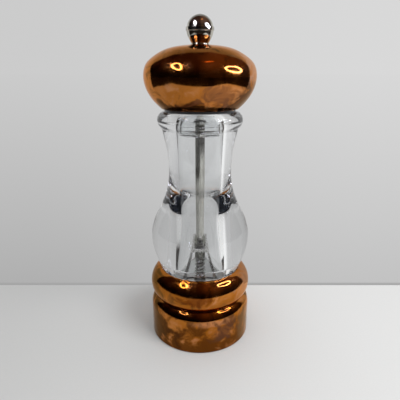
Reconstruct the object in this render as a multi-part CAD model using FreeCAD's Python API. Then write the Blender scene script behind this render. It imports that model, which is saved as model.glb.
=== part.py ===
import FreeCAD, Part
import math
import os

# Pepper mill: clear body, copper head and base, square drive shaft and burrs.
# All sizes are millimetres. The mill's axis is Z and it stands on z = 0.

# Fits between pieces
FIT = 0.03                   # radial, screws and pressed pieces in their holes
SHELL_FIT = 0.1              # a spun shell over its core, and a plate in its recess
RUN_FIT = 0.08               # radial, a turning piece in its bearing
EASY_FIT = 0.2               # radial, a plate dropped into a recess
MOUTH_FIT = 0.15             # radial, the copper collar round the clear body
SLIDE_GAP = 0.1              # between the head and the glide ring
STOP_GAP = 0.3               # left where an adjustment reaches its end
HOLE_ROOM = 0.5              # a blind hole is this much deeper than its screw
PAST = 1.0                   # a cutting solid runs on this far past what it cuts

# Base: a drum with a rounded shoulder under a bulging collar
MILL_RADIUS = 29.0           # drum, collar and head
SHELL = 0.8                  # spun copper
SKIRT_LIFT = 0.3             # the core, not the copper edge, stands on the table
SKIRT_WALL_TOP = 18.3        # straight wall of the drum
SKIRT_SHOULDER = 7.5         # radius of its rounded shoulder
COLLAR_ABOVE_WALL = 14.3     # widest level of the collar above the drum's wall
COLLAR_BULGE = 11.0          # radius of the collar's round section
SEAM_GAP = 0.1               # between the two shells in the groove
MOUTH_SINK = 0.1             # the core ends this far below the collar's mouth
BODY_FOOT_DEPTH = 5.3        # foot of the clear body, let into the core
BODY_FOOT_WALL = 3.0         # from the screws' circle to the foot's outside

# Burr set, held in the core from below
BURR_RADIUS = 12.5           # outside of the burr ring
RETAINER_THICK = 1.5
RETAINER_RADIUS = BURR_RADIUS + 4.0
OUTLET_RADIUS = RETAINER_RADIUS + 2.5   # recess in the underside
BURR_HEIGHT = 18.0
BURR_WALL = 2.0              # thinnest wall, at the burr ring's lower edge
BURR_TAPER = 0.175           # radius gained per millimetre downwards
BURR_GAP = 0.4               # radial gap between the burrs at the finest setting
BURR_SHORT = 2.0             # the cone ends this far above the ring's lower edge
RING_TEETH = 24
CONE_TEETH = 12
TOOTH_DEPTH = 0.9
TOOTH_WIDTH = 1.6
FLUTE_DEPTH = 1.7
FLUTE_WIDTH = 2.6
FLUTE_TWIST = 18.0           # degrees round the cone over its height
TOOTH_OPEN = 0.6             # a tooth's V is cut from this far off the metal
HOPPER_DEPTH = 7.0           # cone of the core that leads pepper to the burrs
HOPPER_MOUTH = BURR_RADIUS - 3.3
HOPPER_FOOT = 0.3            # the hopper ends this far outside the ring's bore
BRIDGE_RECESS = 2.0          # floor of the core below the clear body's foot
BURR_SHOULDER = 5.0          # from the cone's toothed part up to its neck
BURR_NECK_ABOVE = 5.9        # the cone's neck rises this far above the hopper

# Screws
RETAINER_SCREW_CIRCLE = BURR_RADIUS + 2.1
RETAINER_SCREW = 1.25        # shank radius
RETAINER_SCREW_LENGTH = 10.0
RETAINER_SCREW_HEAD = 1.2    # height of the head
BODY_SCREW = 1.5
BODY_SCREW_HEAD = 1.8
BODY_SCREW_INTO_BODY = 7.0
BODY_SCREW_HEAD_UP = 6.0     # its head sits this far above the burr ring's lower edge
BRIDGE_SCREW = 1.0
BRIDGE_SCREW_LENGTH = 6.0
BRIDGE_SCREW_HEAD = 0.9
HEAD_SCREW = 1.25
HEAD_SCREW_SINK = 1.2
HEAD_SCREW_INTO_CORE = 8.0
SCREW_COUNT = 3
HEAD_TO_SHANK = 1.6          # screw head radius over shank radius
CROWN_TO_HEAD = 0.7          # flat top of a domed head over its radius
TIP_TO_SHANK = 0.6
SLOT_WIDTH = 0.6
FIRST_SCREW = 30.0           # degrees, screws of the burrs and the head
BODY_SCREW_TURN = 90.0       # degrees, screws of the clear body

# Clear body: rim bead, waist, belly, straight bore
BORE_RADIUS = 12.1
CORE_BORE_EXTRA = 1.4        # the core's bore under the foot, over the body's bore
CHAMBER_RELIEF = 1.7         # extra radius of the counterbore at its foot
RELIEF_HEIGHT = 9.0
BODY_HEIGHT = 88.7           # from the copper collar's mouth to the rim's flat top
RIM_BEAD = 4.6               # radius of the bead's round section
RIM_RADIUS = 22.7
NOTCH_RADIUS = 20.4          # where the neck runs up into the bead
NOTCH_DOWN = 9.0             # below the rim's flat top
WAIST_RADIUS = 17.15
WAIST_DOWN = 32.5
BELLY_RADIUS = 27.7
BELLY_UP = 19.3              # above the mouth
MOUTH_RADIUS = 22.85         # foot of the belly, in the copper collar's mouth

# Bridge over the burrs
STRAP = 1.2
STRAP_WIDTH = 9.0
BRIDGE_HEIGHT = 19.6
BRIDGE_TOP_HALF = 4.6
BRIDGE_LEG_X = 8.0
BRIDGE_LEG_STRAIGHT = 5.0
BRIDGE_FOOT_END = 12.4
BUSH_WALL = 0.85
BUSH_FLANGE = 1.0
BUSH_OVERHANG = 0.6
BUSH_TAIL = 3.2

# Spring under the bush
SPRING_WIRE = 0.35           # wire radius
SPRING_TURNS = 5.5
SPRING_CLEAR = 0.25          # radial, round the shaft
SPRING_SEAT = 0.05           # left at each end
WASHER_THICK = 0.4

# Drive shaft: square bar with round ends
SHAFT_SIDE = 4.0
SHAFT_TURN = 38.0            # degrees
SHAFT_ROUND = SHAFT_SIDE / 2 - 0.05     # radius of the round ends
SHAFT_EDGE = 0.25            # bevel on the square's corners
SHAFT_TIP = 0.5              # bevel on the ends
SQUARE_ABOVE_RIM = 19.0
THREAD_PITCH = 0.7
ADJUST_TURNS = 1.5           # of the knob, from the finest setting to the coarsest
NUT_HEIGHT = 3.0
NUT_ACROSS = SHAFT_SIDE + 3.0
NUT_EDGE = 0.4
NUT_WASHER = 0.8
NUT_WASHER_RADIUS = NUT_ACROSS / 2 + 1.0
SHAFT_PAST_NUT = 0.5
BURR_NECK_WALL = 1.15        # neck of the cone, round the shaft
WASHER_WALL = 1.75           # washer under the spring, past the shaft

# Head
GLIDE_THICK = 1.9
GLIDE_RADIUS = 18.6
GLIDE_SET_OUT = 1.1          # its hole over the body's bore
HEAD_LIP = 0.7               # the copper edge hangs this far below the head's floor
HEAD_LIP_RADIUS = 0.7 * MILL_RADIUS
HEAD_HEIGHT = 30.3           # from the head's floor to its flat top
HEAD_FLAT = 0.2586 * MILL_RADIUS
HEAD_WIDEST = 15.8           # height of the widest level above the floor
SPIGOT_FIT = 0.15
SPIGOT_WALL = 1.55
SPIGOT_DEPTH = 13.4
SPIGOT_ROUND = 3.0
SPIGOT_FLOOR = 1.8
SPIGOT_STEP = 0.4
SPIGOT_STEP_UP = 6.6
SPIGOT_CLEAR = 0.67          # radial, round the shaft's corners
FLANGE_WALL = 2.6            # from the screws' circle to the flange's edge
FLANGE_THICK = 2.4
PLATE_THICK = 2.0
SHAFT_ROOM = 0.5             # radial, around the shaft's corners in the head core

# Knob
KNOB_WASHER_THICK = 0.6
KNOB_WASHER_EDGE = 0.6       # past the neck
KNOB_NECK = 4.1
KNOB_SWELL = 2.9             # height of the bowl's middle point
KNOB_SWELL_IN = 1.25         # and how far in it lies from the band
KNOB_BAND = 7.1
KNOB_BAND_UP = 6.0           # lower edge of the band above the washer
KNOB_BAND_HEIGHT = 1.8
KNOB_DOME = 6.6
KNOB_DOME_WALL = 0.8
KNOB_SOCKET = 0.6            # depth of the seat that the dome is pressed into
INSERT_WALL = 1.0
STUD_IN_KNOB = 6.4           # length of thread inside the knob

# Circles and levels worked out from the sizes above
BODY_SCREW_CIRCLE = max(BURR_RADIUS + 3 * BODY_SCREW, BORE_RADIUS + CHAMBER_RELIEF + 3.2)
BODY_FOOT_RADIUS = BODY_SCREW_CIRCLE + BODY_FOOT_WALL
HEAD_SCREW_CIRCLE = BORE_RADIUS + 2.8
FLANGE_RADIUS = HEAD_SCREW_CIRCLE + FLANGE_WALL
COLLAR_Z = SKIRT_WALL_TOP + COLLAR_ABOVE_WALL
COLLAR_RING = MILL_RADIUS - COLLAR_BULGE
COLLAR_MOUTH_Z = COLLAR_Z + math.sqrt(COLLAR_BULGE ** 2 - (MOUTH_RADIUS - COLLAR_RING) ** 2)
MOUTH_Z = COLLAR_MOUTH_Z - MOUTH_SINK
BODY_FOOT_Z = MOUTH_Z - BODY_FOOT_DEPTH
BRIDGE_SEAT_Z = BODY_FOOT_Z - BRIDGE_RECESS
BURR_TOP_Z = BRIDGE_SEAT_Z - HOPPER_DEPTH
BURR_LOW_Z = BURR_TOP_Z - BURR_HEIGHT
RETAINER_Z = BURR_LOW_Z - RETAINER_THICK
CONE_LOW_Z = BURR_LOW_Z + BURR_SHORT
CONE_TOP_Z = BRIDGE_SEAT_Z + BURR_NECK_ABOVE
RING_BORE_LOW = BURR_RADIUS - BURR_WALL
RING_BORE_TOP = RING_BORE_LOW - BURR_TAPER * BURR_HEIGHT
STRAP_TOP_Z = BRIDGE_SEAT_Z + BRIDGE_HEIGHT
BUSH_BORE = SHAFT_ROUND + RUN_FIT
BUSH_RADIUS = BUSH_BORE + BUSH_WALL
WASHER_RADIUS = SHAFT_ROUND + WASHER_WALL
SPRING_TOP_Z = STRAP_TOP_Z - STRAP - BUSH_TAIL
SPRING_LOW_Z = CONE_TOP_Z + WASHER_THICK
RIM_Z = MOUTH_Z + BODY_HEIGHT
HEAD_FLOOR_Z = RIM_Z + GLIDE_THICK + SLIDE_GAP
HEAD_TOP_Z = HEAD_FLOOR_Z + HEAD_HEIGHT
FLANGE_TOP_Z = HEAD_FLOOR_Z + FLANGE_THICK
PLATE_TOP_Z = FLANGE_TOP_Z + PLATE_THICK
SQUARE_TOP_Z = RIM_Z + SQUARE_ABOVE_RIM
ADJUST_TRAVEL = ADJUST_TURNS * THREAD_PITCH
SQUARE_LOW_Z = STRAP_TOP_Z + BUSH_FLANGE + ADJUST_TRAVEL + STOP_GAP
SHAFT_CORNER = SHAFT_SIDE / math.sqrt(2)
SPIGOT_HOLE = SHAFT_CORNER + SPIGOT_CLEAR
CORE_BORE = SHAFT_CORNER + SHAFT_ROOM
STUD_HOLE = SHAFT_ROUND + SHAFT_ROOM
KNOB_Z = HEAD_TOP_Z + KNOB_WASHER_THICK
BAND_Z = KNOB_Z + KNOB_BAND_UP
BAND_TOP_Z = BAND_Z + KNOB_BAND_HEIGHT
DOME_Z = BAND_TOP_Z - KNOB_SOCKET
SHAFT_LOW_Z = CONE_LOW_Z - NUT_WASHER - NUT_HEIGHT - SHAFT_PAST_NUT
SHAFT_TOP_Z = KNOB_Z + STUD_IN_KNOB


def at(radius, height):
    """A point of an outline: distance from the axis, and height."""
    return FreeCAD.Vector(radius, 0, height)


def line(start, end):
    return Part.LineSegment(start, end).toShape()


def lines(*points):
    return [line(a, b) for a, b in zip(points, points[1:])]


def arc(centre, radius, start_deg, end_deg):
    """An arc in the outline's plane, with angles measured up from outwards."""
    def on_circle(degrees):
        turn = math.radians(degrees)
        return centre + radius * at(math.cos(turn), math.sin(turn))
    middle = on_circle((start_deg + end_deg) / 2)
    return Part.Arc(on_circle(start_deg), middle, on_circle(end_deg)).toShape()


def smooth(points):
    """One smooth curve through the outline's points."""
    curve = Part.BSplineCurve()
    curve.interpolate(points)
    return curve


def inset(curve, distance, samples=16):
    """A curve that runs outwards and down, moved in by a wall's thickness."""
    first = curve.FirstParameter
    step = (curve.LastParameter - first) / (samples - 1)
    moved = []
    for index in range(samples):
        place = first + index * step
        along = curve.tangent(place)[0]
        inward = FreeCAD.Vector(along.z, 0, -along.x)
        moved.append(curve.value(place) + inward * distance)
    return smooth(moved)


def turned(edges):
    """A solid of revolution from a closed outline."""
    face = Part.Face(Part.Wire(edges))
    return face.revolve(FreeCAD.Vector(), FreeCAD.Vector(0, 0, 1), 360)


def rod(radius, low, high, x=0.0, y=0.0):
    return Part.makeCylinder(radius, high - low, FreeCAD.Vector(x, y, low))


def tube(bore, radius, low, high):
    return rod(radius, low, high).cut(rod(bore, low, high))


def block(width, depth, low, high, x=0.0, y=0.0):
    corner = FreeCAD.Vector(x - width / 2, y - depth / 2, low)
    return Part.makeBox(width, depth, high - low, corner)


def around(shape, count, first_deg=0.0):
    """Copies of a shape spaced evenly about the axis."""
    copies = []
    for index in range(count):
        copy = shape.copy()
        copy.rotate(FreeCAD.Vector(), FreeCAD.Vector(0, 0, 1), first_deg + index * 360 / count)
        copies.append(copy)
    return copies


def save(name, shape):
    if isinstance(shape, list):
        shape = Part.makeCompound(shape)
    elif len(shape.Solids) == 1:
        shape = shape.Solids[0]
    shape.exportStep("parts/" + name + ".step")


def screw(shank, length, head_height, countersunk=False):
    """A slotted screw, its head above z = 0 and its shank below, on the axis."""
    head = shank * HEAD_TO_SHANK
    shaft = [at(0, -length), at(shank * TIP_TO_SHANK, -length), at(shank, shank - length)]
    if countersunk:
        top = [at(shank, -head_height), at(head, 0), at(0, 0)]
        slot_low = -head_height / 2
    else:
        top = [at(shank, 0), at(head, 0), at(head, head_height / 2),
               at(head * CROWN_TO_HEAD, head_height), at(0, head_height)]
        slot_low = head_height / 2
    edges = lines(*shaft, *top, shaft[0])
    slot = block(3 * head, SLOT_WIDTH, slot_low, slot_low + head_height)
    return turned(edges).cut(slot)


def placed_screw(body, x, z, points_up):
    if points_up:
        body.rotate(FreeCAD.Vector(), FreeCAD.Vector(1, 0, 0), 180)
    body.translate(FreeCAD.Vector(x, 0, z))
    return body


# ---------------------------------------------------------------- base

def groove_z():
    """Level at which the drum's shoulder and the collar's round meet."""
    low = SKIRT_WALL_TOP
    high = COLLAR_Z
    for _ in range(60):
        middle = (low + high) / 2
        shoulder_up = min(middle - SKIRT_WALL_TOP, SKIRT_SHOULDER)
        collar_down = min(COLLAR_Z - middle, COLLAR_BULGE)
        shoulder = MILL_RADIUS - SKIRT_SHOULDER + math.sqrt(SKIRT_SHOULDER ** 2 - shoulder_up ** 2)
        collar = COLLAR_RING + math.sqrt(COLLAR_BULGE ** 2 - collar_down ** 2)
        if shoulder > collar:
            low = middle
        else:
            high = middle
    return low


def drum(wall, low):
    """The drum's outer form, set in by a wall."""
    centre = at(MILL_RADIUS - SKIRT_SHOULDER, SKIRT_WALL_TOP)
    radius = SKIRT_SHOULDER - wall
    top = SKIRT_WALL_TOP + radius
    edges = lines(at(0, low), at(MILL_RADIUS - wall, low), at(MILL_RADIUS - wall, SKIRT_WALL_TOP))
    edges.append(arc(centre, radius, 0, 90))
    edges += lines(at(centre.x, top), at(0, top), at(0, low))
    return turned(edges)


def bulge(wall):
    """The collar's outer form, set in by a wall."""
    centre = at(COLLAR_RING, COLLAR_Z)
    radius = COLLAR_BULGE - wall
    edges = lines(at(0, COLLAR_Z - radius), at(COLLAR_RING, COLLAR_Z - radius))
    edges.append(arc(centre, radius, -90, 90))
    edges += lines(at(COLLAR_RING, COLLAR_Z + radius), at(0, COLLAR_Z + radius),
                   at(0, COLLAR_Z - radius))
    return turned(edges)


def base_skirt():
    below = rod(2 * MILL_RADIUS, -PAST, groove_z() - SEAM_GAP / 2)
    return drum(0, SKIRT_LIFT).cut(drum(SHELL, -PAST)).common(below)


def base_collar():
    above = rod(2 * MILL_RADIUS, groove_z() + SEAM_GAP / 2, MOUTH_Z + COLLAR_BULGE)
    mouth = rod(MOUTH_RADIUS + MOUTH_FIT, COLLAR_Z, MOUTH_Z + COLLAR_BULGE)
    return bulge(0).cut(bulge(SHELL)).common(above).cut(mouth)


def base_core():
    wall = SHELL + SHELL_FIT
    slab = rod(2 * MILL_RADIUS, 0, MOUTH_Z)
    core = drum(wall, 0).fuse(bulge(wall)).common(slab)
    recess = RETAINER_RADIUS + EASY_FIT
    seat = BURR_RADIUS + RUN_FIT
    bore = BORE_RADIUS + CORE_BORE_EXTRA
    foot = BODY_FOOT_RADIUS + SHELL_FIT
    hollow = lines(at(0, -PAST), at(OUTLET_RADIUS, -PAST), at(OUTLET_RADIUS, RETAINER_Z),
                   at(recess, RETAINER_Z), at(recess, BURR_LOW_Z),
                   at(seat, BURR_LOW_Z), at(seat, BURR_TOP_Z),
                   at(RING_BORE_TOP + HOPPER_FOOT, BURR_TOP_Z), at(HOPPER_MOUTH, BRIDGE_SEAT_Z),
                   at(bore, BRIDGE_SEAT_Z), at(bore, BODY_FOOT_Z),
                   at(foot, BODY_FOOT_Z), at(foot, MOUTH_Z + PAST),
                   at(0, MOUTH_Z + PAST), at(0, -PAST))
    core = core.cut(turned(hollow))
    retainer_hole = rod(RETAINER_SCREW + FIT, BURR_LOW_Z - PAST,
                        RETAINER_Z + RETAINER_SCREW_LENGTH + HOLE_ROOM, RETAINER_SCREW_CIRCLE)
    body_hole = rod(BODY_SCREW + FIT, 0, MOUTH_Z, BODY_SCREW_CIRCLE)
    head_well = rod(BODY_SCREW * HEAD_TO_SHANK + STOP_GAP, 0, BURR_LOW_Z + BODY_SCREW_HEAD_UP,
                    BODY_SCREW_CIRCLE)
    bridge_hole = rod(BRIDGE_SCREW + FIT, BRIDGE_SEAT_Z - BRIDGE_SCREW_LENGTH,
                      BRIDGE_SEAT_Z + PAST, bridge_screw_x())
    holes = around(retainer_hole, SCREW_COUNT, FIRST_SCREW)
    holes += around(body_hole, SCREW_COUNT, BODY_SCREW_TURN)
    holes += around(head_well, SCREW_COUNT, BODY_SCREW_TURN)
    holes += around(bridge_hole, 2)
    return core.cut(Part.makeCompound(holes))


def body_screws():
    seat = BURR_LOW_Z + BODY_SCREW_HEAD_UP
    length = BODY_FOOT_Z + BODY_SCREW_INTO_BODY - seat
    one = placed_screw(screw(BODY_SCREW, length, BODY_SCREW_HEAD), BODY_SCREW_CIRCLE, seat, True)
    return around(one, SCREW_COUNT, BODY_SCREW_TURN)


def burr_retainer():
    ring = tube(RING_BORE_LOW + SHELL_FIT, RETAINER_RADIUS, RETAINER_Z, BURR_LOW_Z)
    hole = rod(RETAINER_SCREW + FIT, RETAINER_Z - PAST, BURR_LOW_Z + PAST, RETAINER_SCREW_CIRCLE)
    return ring.cut(Part.makeCompound(around(hole, SCREW_COUNT, FIRST_SCREW)))


def retainer_screws():
    one = placed_screw(screw(RETAINER_SCREW, RETAINER_SCREW_LENGTH, RETAINER_SCREW_HEAD),
                       RETAINER_SCREW_CIRCLE, RETAINER_Z, True)
    return around(one, SCREW_COUNT, FIRST_SCREW)


# ---------------------------------------------------------------- burrs

def notch(radius_low, radius_high, low, high, depth, width, twist_deg):
    """A V-shaped groove that follows a cone's side, to be cut or left out."""
    def section(radius, height, turn):
        corners = [FreeCAD.Vector(radius - depth, 0, height),
                   FreeCAD.Vector(radius + TOOTH_OPEN, width / 2, height),
                   FreeCAD.Vector(radius + TOOTH_OPEN, -width / 2, height)]
        wire = Part.makePolygon(corners + corners[:1])
        wire.rotate(FreeCAD.Vector(), FreeCAD.Vector(0, 0, 1), turn)
        return wire
    return Part.makeLoft([section(radius_low, low, 0), section(radius_high, high, twist_deg)],
                         True, True)


def burr_ring():
    ring = rod(BURR_RADIUS, BURR_LOW_Z, BURR_TOP_Z)
    bore = turned(lines(at(0, BURR_LOW_Z), at(RING_BORE_LOW, BURR_LOW_Z),
                        at(RING_BORE_TOP, BURR_TOP_Z), at(0, BURR_TOP_Z), at(0, BURR_LOW_Z)))
    past = BURR_TAPER * PAST
    tooth = notch(-(RING_BORE_LOW + past), -(RING_BORE_TOP - past), BURR_LOW_Z - PAST,
                  BURR_TOP_Z + PAST, TOOTH_DEPTH, TOOTH_WIDTH, 0)
    return ring.cut(bore).cut(Part.makeCompound(around(tooth, RING_TEETH)))


def burr_cone():
    low = RING_BORE_LOW - BURR_TAPER * BURR_SHORT - BURR_GAP
    high = RING_BORE_TOP - BURR_GAP
    bore = SHAFT_ROUND + FIT
    neck = SHAFT_ROUND + BURR_NECK_WALL
    blank = turned(lines(at(bore, CONE_LOW_Z), at(low, CONE_LOW_Z), at(high, BURR_TOP_Z),
                         at(neck, BURR_TOP_Z + BURR_SHOULDER), at(neck, CONE_TOP_Z),
                         at(bore, CONE_TOP_Z), at(bore, CONE_LOW_Z)))
    past = BURR_TAPER * PAST
    flute = notch(low + past, high - past, CONE_LOW_Z - PAST, BURR_TOP_Z + PAST, FLUTE_DEPTH,
                  FLUTE_WIDTH, FLUTE_TWIST)
    return blank.cut(Part.makeCompound(around(flute, CONE_TEETH)))


def burr_washer():
    return tube(SHAFT_ROUND + FIT, NUT_WASHER_RADIUS, CONE_LOW_Z - NUT_WASHER, CONE_LOW_Z)


def burr_nut():
    top = CONE_LOW_Z - NUT_WASHER
    foot = top - NUT_HEIGHT
    corner = NUT_ACROSS / math.sqrt(3)
    points = []
    for index in range(7):
        turn = math.radians(60 * index)
        points.append(FreeCAD.Vector(corner * math.cos(turn), corner * math.sin(turn), foot))
    hexagon = Part.Face(Part.makePolygon(points)).extrude(FreeCAD.Vector(0, 0, NUT_HEIGHT))
    blank = turned(lines(at(0, foot), at(NUT_ACROSS / 2, foot), at(corner, foot + NUT_EDGE),
                         at(corner, top), at(0, top), at(0, foot)))
    return hexagon.common(blank).cut(rod(SHAFT_ROUND + FIT, foot - PAST, top + PAST))


# ---------------------------------------------------------------- bridge and spring

def bridge_screw_x():
    """Middle of the strap's turned-out foot."""
    return (BRIDGE_LEG_X + STRAP + BRIDGE_FOOT_END) / 2


def bridge():
    """A strap bent over the burrs, its legs splayed and its feet turned out."""
    top = STRAP_TOP_Z
    low = BRIDGE_SEAT_Z + STRAP
    side = [at(BRIDGE_FOOT_END, low), at(BRIDGE_LEG_X + STRAP / 2, low),
            at(BRIDGE_LEG_X + STRAP / 2, low + BRIDGE_LEG_STRAIGHT), at(BRIDGE_TOP_HALF, top)]
    other = [FreeCAD.Vector(-p.x, 0, p.z) for p in reversed(side)]
    path = Part.Wire(lines(*(side + other)))
    face = path.makeOffset2D(STRAP, 2, True, True, False)
    if face.BoundBox.ZMax > top + STRAP / 2:
        face = path.makeOffset2D(-STRAP, 2, True, True, False)
    strap = face.extrude(FreeCAD.Vector(0, STRAP_WIDTH, 0))
    strap.translate(FreeCAD.Vector(0, -STRAP_WIDTH / 2, 0))
    holes = [rod(BUSH_RADIUS + FIT, top - 3 * STRAP, top + STRAP)]
    for x in (-bridge_screw_x(), bridge_screw_x()):
        holes.append(rod(BRIDGE_SCREW + FIT, low - 2 * STRAP, low + STRAP, x))
    return strap.cut(Part.makeCompound(holes))


def bridge_bush():
    flange = tube(BUSH_BORE, BUSH_RADIUS + BUSH_OVERHANG, STRAP_TOP_Z, STRAP_TOP_Z + BUSH_FLANGE)
    sleeve = tube(BUSH_BORE, BUSH_RADIUS, SPRING_TOP_Z, STRAP_TOP_Z)
    return flange.fuse(sleeve).removeSplitter()


def bridge_screws():
    one = screw(BRIDGE_SCREW, BRIDGE_SCREW_LENGTH - HOLE_ROOM + STRAP, BRIDGE_SCREW_HEAD)
    return around(placed_screw(one, bridge_screw_x(), BRIDGE_SEAT_Z + STRAP, False), 2)


def spring():
    mean = SHAFT_ROUND + SPRING_CLEAR + SPRING_WIRE
    height = SPRING_TOP_Z - SPRING_LOW_Z - 2 * (SPRING_WIRE + SPRING_SEAT)
    coil = Part.makeHelix(height / SPRING_TURNS, height, mean)
    start = FreeCAD.Vector(mean, 0, 0)
    wire = Part.Wire(Part.makeCircle(SPRING_WIRE, start, FreeCAD.Vector(0, 1, 0)))
    body = Part.Wire(coil.Edges).makePipeShell([wire], True, True)
    body.translate(FreeCAD.Vector(0, 0, SPRING_LOW_Z + SPRING_WIRE + SPRING_SEAT))
    return body


def spring_washer():
    return tube(BUSH_BORE, WASHER_RADIUS, CONE_TOP_Z, SPRING_LOW_Z)


# ---------------------------------------------------------------- clear body and shaft

def acrylic_body():
    bead = at(RIM_RADIUS - RIM_BEAD, RIM_Z - RIM_BEAD)
    notch_z = RIM_Z - NOTCH_DOWN
    waist_z = RIM_Z - WAIST_DOWN
    belly_z = MOUTH_Z + BELLY_UP
    side = smooth([at(NOTCH_RADIUS, notch_z),
                   at(WAIST_RADIUS + 0.75, waist_z + 11.5),
                   at(WAIST_RADIUS, waist_z),
                   at(WAIST_RADIUS + 1.9, waist_z - 12.6),
                   at(BELLY_RADIUS - 4.2, belly_z + 14.3),
                   at(BELLY_RADIUS - 1.0, belly_z + 6.6),
                   at(BELLY_RADIUS, belly_z),
                   at(BELLY_RADIUS - 1.3, belly_z - 9.7),
                   at(MOUTH_RADIUS, MOUTH_Z)]).toShape()
    meet = math.degrees(math.asin((notch_z - bead.z) / RIM_BEAD * 0.98))
    bead_end = bead + RIM_BEAD * at(math.cos(math.radians(meet)), math.sin(math.radians(meet)))
    relief = BORE_RADIUS + CHAMBER_RELIEF
    edges = lines(at(BORE_RADIUS, RIM_Z), at(bead.x, RIM_Z))
    edges.append(arc(bead, RIM_BEAD, 90, meet))
    edges.append(line(bead_end, at(NOTCH_RADIUS, notch_z)))
    edges.append(side)
    edges += lines(at(MOUTH_RADIUS, MOUTH_Z), at(BODY_FOOT_RADIUS, MOUTH_Z),
                   at(BODY_FOOT_RADIUS, BODY_FOOT_Z), at(relief, BODY_FOOT_Z),
                   at(relief, BODY_FOOT_Z + RELIEF_HEIGHT),
                   at(BORE_RADIUS, BODY_FOOT_Z + RELIEF_HEIGHT), at(BORE_RADIUS, RIM_Z))
    hole = rod(BODY_SCREW + FIT, BODY_FOOT_Z - PAST, BODY_FOOT_Z + BODY_SCREW_INTO_BODY + HOLE_ROOM,
               BODY_SCREW_CIRCLE)
    return turned(edges).cut(Part.makeCompound(around(hole, SCREW_COUNT, BODY_SCREW_TURN)))


def drive_shaft():
    square = block(SHAFT_SIDE, SHAFT_SIDE, SQUARE_LOW_Z, SQUARE_TOP_Z)
    square = square.common(rod(SHAFT_CORNER - SHAFT_EDGE, SQUARE_LOW_Z, SQUARE_TOP_Z))
    square.rotate(FreeCAD.Vector(), FreeCAD.Vector(0, 0, 1), SHAFT_TURN)
    tip = SHAFT_ROUND - SHAFT_TIP
    ends = turned(lines(at(0, SHAFT_LOW_Z), at(tip, SHAFT_LOW_Z),
                        at(SHAFT_ROUND, SHAFT_LOW_Z + SHAFT_TIP),
                        at(SHAFT_ROUND, SHAFT_TOP_Z - SHAFT_TIP),
                        at(tip, SHAFT_TOP_Z), at(0, SHAFT_TOP_Z), at(0, SHAFT_LOW_Z)))
    return square.fuse(ends).removeSplitter()


# ---------------------------------------------------------------- head

def glide_ring():
    return tube(BORE_RADIUS + GLIDE_SET_OUT, GLIDE_RADIUS, RIM_Z, RIM_Z + GLIDE_THICK)


def head_curve():
    """Side of the head from its flat top round to its lower lip."""
    widest = HEAD_FLOOR_Z + HEAD_WIDEST
    lip_z = HEAD_FLOOR_Z - HEAD_LIP
    return smooth([at(HEAD_FLAT, HEAD_TOP_Z),
                   at(0.5655 * MILL_RADIUS, HEAD_TOP_Z - 1.6),
                   at(0.8103 * MILL_RADIUS, HEAD_TOP_Z - 5.2),
                   at(0.9483 * MILL_RADIUS, HEAD_TOP_Z - 9.0),
                   at(MILL_RADIUS, widest),
                   at(0.9379 * MILL_RADIUS, widest - 8.0),
                   at(0.7897 * MILL_RADIUS, lip_z + 2.5),
                   at(HEAD_LIP_RADIUS, lip_z)])


def head_form(wall, low):
    """The head's outer form, set in by a wall and closed at a level below."""
    curve = head_curve() if wall == 0 else inset(head_curve(), wall)
    start = curve.value(curve.FirstParameter)
    end = curve.value(curve.LastParameter)
    edges = [curve.toShape()]
    edges += lines(end, at(end.x, low), at(0, low), at(0, start.z), start)
    return turned(edges)


def head_shell():
    lip_z = HEAD_FLOOR_Z - HEAD_LIP
    edges = [head_curve().toShape()]
    edges += lines(at(HEAD_LIP_RADIUS, lip_z), at(0, lip_z), at(0, HEAD_TOP_Z),
                   at(HEAD_FLAT, HEAD_TOP_Z))
    shell = turned(edges).cut(head_form(SHELL, lip_z - PAST))
    return shell.cut(rod(STUD_HOLE, HEAD_TOP_Z - SHELL - PAST, HEAD_TOP_Z + PAST))


def head_core():
    core = head_form(SHELL + SHELL_FIT, HEAD_FLOOR_Z - PAST)
    core = core.common(rod(2 * MILL_RADIUS, HEAD_FLOOR_Z, HEAD_TOP_Z))
    bore = rod(CORE_BORE, HEAD_FLOOR_Z - PAST, HEAD_TOP_Z + PAST)
    recess = rod(FLANGE_RADIUS + EASY_FIT, HEAD_FLOOR_Z - PAST, PLATE_TOP_Z)
    hole = rod(HEAD_SCREW + FIT, PLATE_TOP_Z - PAST, PLATE_TOP_Z + HEAD_SCREW_INTO_CORE + HOLE_ROOM,
               HEAD_SCREW_CIRCLE)
    holes = around(hole, SCREW_COUNT, FIRST_SCREW)
    return core.cut(bore).cut(recess).cut(Part.makeCompound(holes))


def head_screws():
    length = PLATE_TOP_Z + HEAD_SCREW_INTO_CORE - HEAD_FLOOR_Z
    one = placed_screw(screw(HEAD_SCREW, length, HEAD_SCREW_SINK, countersunk=True),
                       HEAD_SCREW_CIRCLE, HEAD_FLOOR_Z, True)
    return around(one, SCREW_COUNT, FIRST_SCREW)


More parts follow.
